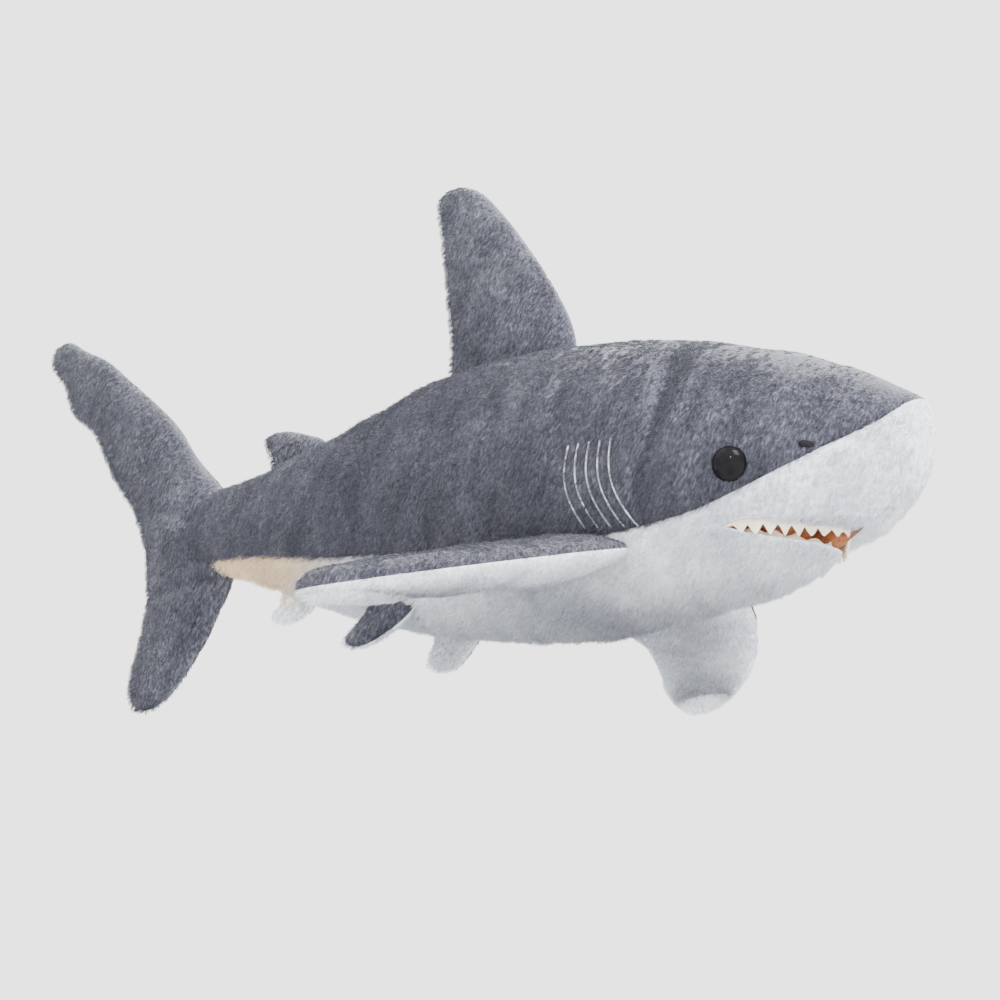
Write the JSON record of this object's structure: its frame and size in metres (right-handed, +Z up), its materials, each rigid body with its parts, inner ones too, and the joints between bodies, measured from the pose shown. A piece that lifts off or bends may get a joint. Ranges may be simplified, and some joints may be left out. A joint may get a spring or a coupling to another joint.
{
  "type": "plush shark",
  "caption": "Stuffed plush shark with a grey back, white underside, felt teeth, domed eyes and fins that flex on their sewn seams.",
  "frame": {"origin": "middle of the bounding box's footprint, on the plane under the pectoral fin tips", "axes": "+X forward to the nose, +Y to the shark's left, +Z up"},
  "size_m": [0.4053, 0.2456, 0.1871],
  "materials": {
    "grey_plush": "short pile",
    "white_plush": "short pile",
    "felt_ivory": "matte felt",
    "mouth_fabric": "matte",
    "eye_black": "gloss",
    "washer_white": "matte",
    "thread_pale": "satin thread",
    "thread_dark": "satin thread",
    "polyester_fill": "matte"
  },
  "bodies": {
    "torso": {"back_panel_left": "grey_plush", "face_panel_left": "white_plush", "eye_left": "eye_black", "eye_washer_left": "washer_white", "gill_stitches_left": "thread_pale", "nostril_stitch_left": "thread_dark", "back_panel_right": "grey_plush", "face_panel_right": "white_plush", "eye_right": "eye_black", "eye_washer_right": "washer_white", "gill_stitches_right": "thread_pale", "nostril_stitch_right": "thread_dark", "belly_panel": "white_plush", "mouth_lining": "mouth_fabric", "upper_teeth_felt": "felt_ivory", "lower_teeth_felt": "felt_ivory", "body_stuffing": "polyester_fill"},
    "pectoral_fin_left": {"pectoral_left_top": "grey_plush", "pectoral_left_bottom": "white_plush", "pectoral_left_stuffing": "polyester_fill"},
    "pelvic_fin_left": {"pelvic_left_outer": "grey_plush", "pelvic_left_inner": "white_plush", "pelvic_left_stuffing": "polyester_fill"},
    "dorsal_fin": {"dorsal_fin_left_panel": "grey_plush", "dorsal_fin_right_panel": "grey_plush", "dorsal_fin_stuffing": "polyester_fill"},
    "second_dorsal_fin": {"second_dorsal_fin_left_panel": "grey_plush", "second_dorsal_fin_right_panel": "grey_plush", "second_dorsal_fin_stuffing": "polyester_fill"},
    "anal_fin": {"anal_fin_left_panel": "white_plush", "anal_fin_right_panel": "white_plush", "anal_fin_stuffing": "polyester_fill"},
    "tail_fin": {"tail_fin_left_panel": "grey_plush", "tail_fin_right_panel": "grey_plush", "tail_fin_stuffing": "polyester_fill"},
    "pectoral_fin_right": {"pectoral_right_top": "grey_plush", "pectoral_right_bottom": "white_plush", "pectoral_right_stuffing": "polyester_fill"},
    "pelvic_fin_right": {"pelvic_right_outer": "grey_plush", "pelvic_right_inner": "white_plush", "pelvic_right_stuffing": "polyester_fill"}
  },
  "joints": [
    {"name": "pectoral_left_flap", "type": "hinge", "parent": "torso", "child": "pectoral_fin_left", "pos_m": [0.08, 0.0438, 0.0213], "axis": [1, 0, 0], "range_deg": [-20, 30], "stiffness_Nm_per_rad": 0.2},
    {"name": "pectoral_right_flap", "type": "hinge", "parent": "torso", "child": "pectoral_fin_right", "pos_m": [0.08, -0.0438, 0.0213], "axis": [1, 0, 0], "range_deg": [-30, 20], "stiffness_Nm_per_rad": 0.2},
    {"name": "tail_sway", "type": "hinge", "parent": "torso", "child": "tail_fin", "pos_m": [-0.106, 0, 0.068], "axis": [0, 0, 1], "range_deg": [-25, 25], "stiffness_Nm_per_rad": 0.3},
    {"name": "dorsal_lean", "type": "hinge", "parent": "torso", "child": "dorsal_fin", "pos_m": [0.037, 0, 0.1171], "axis": [1, 0, 0], "range_deg": [-25, 25], "stiffness_Nm_per_rad": 0.3},
    {"name": "second_dorsal_lean", "type": "hinge", "parent": "torso", "child": "second_dorsal_fin", "pos_m": [-0.06388, 0, 0.09472], "axis": [0.9833, 0, 0.1822], "range_deg": [-25, 25], "stiffness_Nm_per_rad": 0.05},
    {"name": "anal_lean", "type": "hinge", "parent": "torso", "child": "anal_fin", "pos_m": [-0.06358, 0, 0.0334], "axis": [0.9304, 0, -0.3665], "range_deg": [-25, 25], "stiffness_Nm_per_rad": 0.05},
    {"name": "pelvic_left_flap", "type": "hinge", "parent": "torso", "child": "pelvic_fin_left", "pos_m": [-0.00247, 0.02106, 0.01899], "axis": [0.9667, 0.11, -0.2309], "range_deg": [-15, 25], "stiffness_Nm_per_rad": 0.06},
    {"name": "pelvic_right_flap", "type": "hinge", "parent": "torso", "child": "pelvic_fin_right", "pos_m": [-0.00247, -0.02106, 0.01899], "axis": [0.9667, -0.11, -0.2309], "range_deg": [-25, 15], "stiffness_Nm_per_rad": 0.06}
  ]
}
